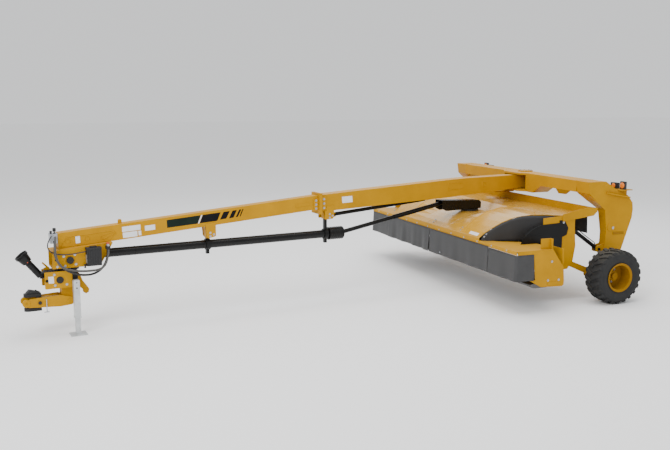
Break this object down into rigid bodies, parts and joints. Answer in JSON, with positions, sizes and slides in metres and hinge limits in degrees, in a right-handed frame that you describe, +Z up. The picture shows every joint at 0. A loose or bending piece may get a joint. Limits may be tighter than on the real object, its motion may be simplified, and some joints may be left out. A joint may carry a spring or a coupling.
{
  "type": "mower conditioner",
  "caption": "Pull-type mower conditioner with a swinging centre tongue, arch carrier on two wheels, disc cutter header, conditioner rolls, swivel hitch and parking jack.",
  "frame": {"origin": "middle of the hitch clevis's pin bore", "axes": "+X towards the machine's left, +Y rearward, +Z up"},
  "size_m": [4.744, 8.6078, 1.746],
  "materials": {
    "yellow_paint": "gloss",
    "black_paint": "satin",
    "bare_steel": "satin",
    "dark_steel": "matte",
    "tyre": "matte",
    "rubber": "matte",
    "lamp_plastic": "matte"
  },
  "bodies": {
    "carrier": {"arch_beam": "yellow_paint", "leg_left": "yellow_paint", "leg_right": "yellow_paint", "pivot_pin": "yellow_paint", "spindles": "bare_steel", "lamps": "lamp_plastic"},
    "wheel_left": {"tyre_left": "tyre", "rim_left": "yellow_paint"},
    "wheel_right": {"tyre_right": "tyre", "rim_right": "yellow_paint"},
    "tongue": {"tongue_rear": "yellow_paint", "tongue_front": "yellow_paint", "gearbox_housing": "yellow_paint", "upper_gearbox": "black_paint", "hanger_brackets": "yellow_paint", "hanger_posts": "black_paint", "driveline_tube": "black_paint", "driveline_guard": "black_paint", "manual_box": "lamp_plastic", "valve_block": "bare_steel", "hose_upper": "rubber", "hose_lower": "rubber", "hose_cable": "rubber"},
    "swing_barrel": {"swing_barrel": "black_paint"},
    "swing_rod": {"swing_rod": "bare_steel"},
    "hitch": {"hitch_housing": "yellow_paint", "lower_gearbox": "black_paint", "pto_shaft": "black_paint"},
    "drawbar": {"drawbar": "yellow_paint", "hitch_clevis": "black_paint"},
    "jack": {"jack_tube": "bare_steel", "jack_leg": "bare_steel"},
    "lift_arms": {"lift_arms": "yellow_paint"},
    "lift_barrels": {"lift_barrels": "black_paint"},
    "lift_rods": {"lift_rods": "bare_steel"},
    "header": {"hood": "yellow_paint", "end_left": "yellow_paint", "end_right": "yellow_paint", "front_rail": "yellow_paint", "front_curtain": "rubber", "end_flaps": "rubber", "rear_hood": "yellow_paint", "rear_curtain": "rubber", "header_frame": "yellow_paint", "cutterbar": "dark_steel", "deck_gearbox": "black_paint", "inner_panels": "black_paint"},
    "roll_upper": {"roll_upper": "rubber"},
    "roll_lower": {"roll_lower": "rubber"},
    "gearbox_shield": {"gearbox_shield": "black_paint"},
    "driveline_shaft": {"driveline_shaft": "black_paint"},
    "disc_1": {"disc_1": "dark_steel"},
    "disc_2": {"disc_2": "dark_steel"},
    "disc_3": {"disc_3": "dark_steel"},
    "disc_4": {"disc_4": "dark_steel"},
    "disc_5": {"disc_5": "dark_steel"},
    "disc_6": {"disc_6": "dark_steel"},
    "disc_7": {"disc_7": "dark_steel"},
    "disc_8": {"disc_8": "dark_steel"},
    "disc_9": {"disc_9": "dark_steel"}
  },
  "joints": [
    {"name": "wheel_left_spin", "type": "hinge", "parent": "carrier", "child": "wheel_left", "pos_m": [1.23419, 7.91593, -0.0415], "axis": [1, 0, 0], "continuous": true},
    {"name": "wheel_right_spin", "type": "hinge", "parent": "carrier", "child": "wheel_right", "pos_m": [-3.16581, 7.91593, -0.0415], "axis": [1, 0, 0], "continuous": true},
    {"name": "tongue_swing", "type": "hinge", "parent": "carrier", "child": "tongue", "pos_m": [-0.96581, 7.86593, 1.145], "axis": [0, 0, 1], "range_deg": [-42, 28]},
    {"name": "swing_barrel_turn", "type": "hinge", "parent": "tongue", "child": "swing_barrel", "pos_m": [-0.51855, 4.22328, 0.81], "axis": [0, 0, 1], "range_deg": [-4.16, 2.77]},
    {"name": "swing_rod_stroke", "type": "slide", "parent": "swing_barrel", "child": "swing_rod", "axis": [-0.235, 0.9704, 0.0551], "range_m": [-0.26297, 0.17531]},
    {"name": "hitch_swivel", "type": "hinge", "parent": "tongue", "child": "hitch", "pos_m": [-0.06032, 0.49131, 0.405], "axis": [0, 0, 1], "range_deg": [-30, 30]},
    {"name": "drawbar_lift", "type": "hinge", "parent": "hitch", "child": "drawbar", "pos_m": [-0.05667, 0.46153, -0.015], "axis": [-0.9925, -0.1219, 0], "range_deg": [0, 20]},
    {"name": "jack_stow", "type": "hinge", "parent": "hitch", "child": "jack", "pos_m": [0.12216, 0.56409, 0.205], "axis": [0.9925, 0.1219, 0], "range_deg": [0, 90]},
    {"name": "header_lift", "type": "hinge", "parent": "carrier", "child": "lift_arms", "pos_m": [-0.96581, 7.78593, -0.045], "axis": [1, 0, 0], "range_deg": [0, 47]},
    {"name": "header_level", "type": "hinge", "parent": "lift_arms", "child": "header", "pos_m": [-0.96581, 7.40793, 0.116], "axis": [1, 0, 0], "range_deg": [-47.05, 0]},
    {"name": "lift_barrel_turn", "type": "hinge", "parent": "carrier", "child": "lift_barrels", "pos_m": [-0.96581, 7.90593, 0.295], "axis": [1, 0, 0], "range_deg": [0, 25.4]},
    {"name": "lift_rod_stroke", "type": "slide", "parent": "lift_barrels", "child": "lift_rods", "axis": [0, -0.8221, 0.5694], "range_m": [-0.11722, 0]},
    {"name": "disc_1_spin", "type": "hinge", "parent": "header", "child": "disc_1", "pos_m": [-2.96582, 6.53593, -0.005], "axis": [0, 0, 1], "continuous": true},
    {"name": "disc_2_spin", "type": "hinge", "parent": "header", "child": "disc_2", "pos_m": [-2.46582, 6.53593, -0.005], "axis": [0, 0, 1], "continuous": true},
    {"name": "disc_3_spin", "type": "hinge", "parent": "header", "child": "disc_3", "pos_m": [-1.96582, 6.53593, -0.005], "axis": [0, 0, 1], "continuous": true},
    {"name": "disc_4_spin", "type": "hinge", "parent": "header", "child": "disc_4", "pos_m": [-1.46582, 6.53593, -0.005], "axis": [0, 0, 1], "continuous": true},
    {"name": "disc_5_spin", "type": "hinge", "parent": "header", "child": "disc_5", "pos_m": [-0.96581, 6.53593, -0.005], "axis": [0, 0, 1], "continuous": true},
    {"name": "disc_6_spin", "type": "hinge", "parent": "header", "child": "disc_6", "pos_m": [-0.46581, 6.53593, -0.005], "axis": [0, 0, 1], "continuous": true},
    {"name": "disc_7_spin", "type": "hinge", "parent": "header", "child": "disc_7", "pos_m": [0.03419, 6.53593, -0.005], "axis": [0, 0, 1], "continuous": true},
    {"name": "disc_8_spin", "type": "hinge", "parent": "header", "child": "disc_8", "pos_m": [0.53419, 6.53593, -0.005], "axis": [0, 0, 1], "continuous": true},
    {"name": "disc_9_spin", "type": "hinge", "parent": "header", "child": "disc_9", "pos_m": [1.03418, 6.53593, -0.005], "axis": [0, 0, 1], "continuous": true},
    {"name": "roll_upper_spin", "type": "hinge", "parent": "header", "child": "roll_upper", "pos_m": [-0.96581, 7.16593, 0.5], "axis": [1, 0, 0], "continuous": true},
    {"name": "roll_lower_spin", "type": "hinge", "parent": "header", "child": "roll_lower", "pos_m": [-0.96581, 7.12393, 0.237], "axis": [1, 0, 0], "continuous": true},
    {"name": "gearbox_swivel", "type": "hinge", "parent": "header", "child": "gearbox_shield", "pos_m": [-0.96581, 6.81593, 0.765], "axis": [0, 0, 1], "range_deg": [-58.72, 39.15]},
    {"name": "driveline_pitch", "type": "hinge", "parent": "gearbox_shield", "child": "driveline_shaft", "pos_m": [-0.87289, 6.28398, 0.853], "axis": [0.9851, 0.1721, 0], "range_deg": [-9.58, 0]}
  ],
  "couplings": [
    {"joint": "swing_barrel_turn", "follows": "tongue_swing", "ratio": 0.097},
    {"joint": "swing_rod_stroke", "follows": "tongue_swing", "m_per_rad": 0.3517},
    {"joint": "header_level", "follows": "header_lift", "ratio": -1},
    {"joint": "lift_barrel_turn", "follows": "header_lift", "ratio": 0.5298},
    {"joint": "lift_rod_stroke", "follows": "header_lift", "m_per_rad": -0.1401},
    {"joint": "disc_2_spin", "follows": "disc_1_spin", "ratio": -1},
    {"joint": "disc_3_spin", "follows": "disc_1_spin", "ratio": 1},
    {"joint": "disc_4_spin", "follows": "disc_1_spin", "ratio": -1},
    {"joint": "disc_5_spin", "follows": "disc_1_spin", "ratio": 1},
    {"joint": "disc_6_spin", "follows": "disc_1_spin", "ratio": -1},
    {"joint": "disc_7_spin", "follows": "disc_1_spin", "ratio": 1},
    {"joint": "disc_8_spin", "follows": "disc_1_spin", "ratio": -1},
    {"joint": "disc_9_spin", "follows": "disc_1_spin", "ratio": 1},
    {"joint": "roll_lower_spin", "follows": "roll_upper_spin", "ratio": -1},
    {"joint": "gearbox_swivel", "follows": "tongue_swing", "ratio": 1.3843},
    {"joint": "driveline_pitch", "follows": "header_lift", "ratio": -0.1999}
  ]
}
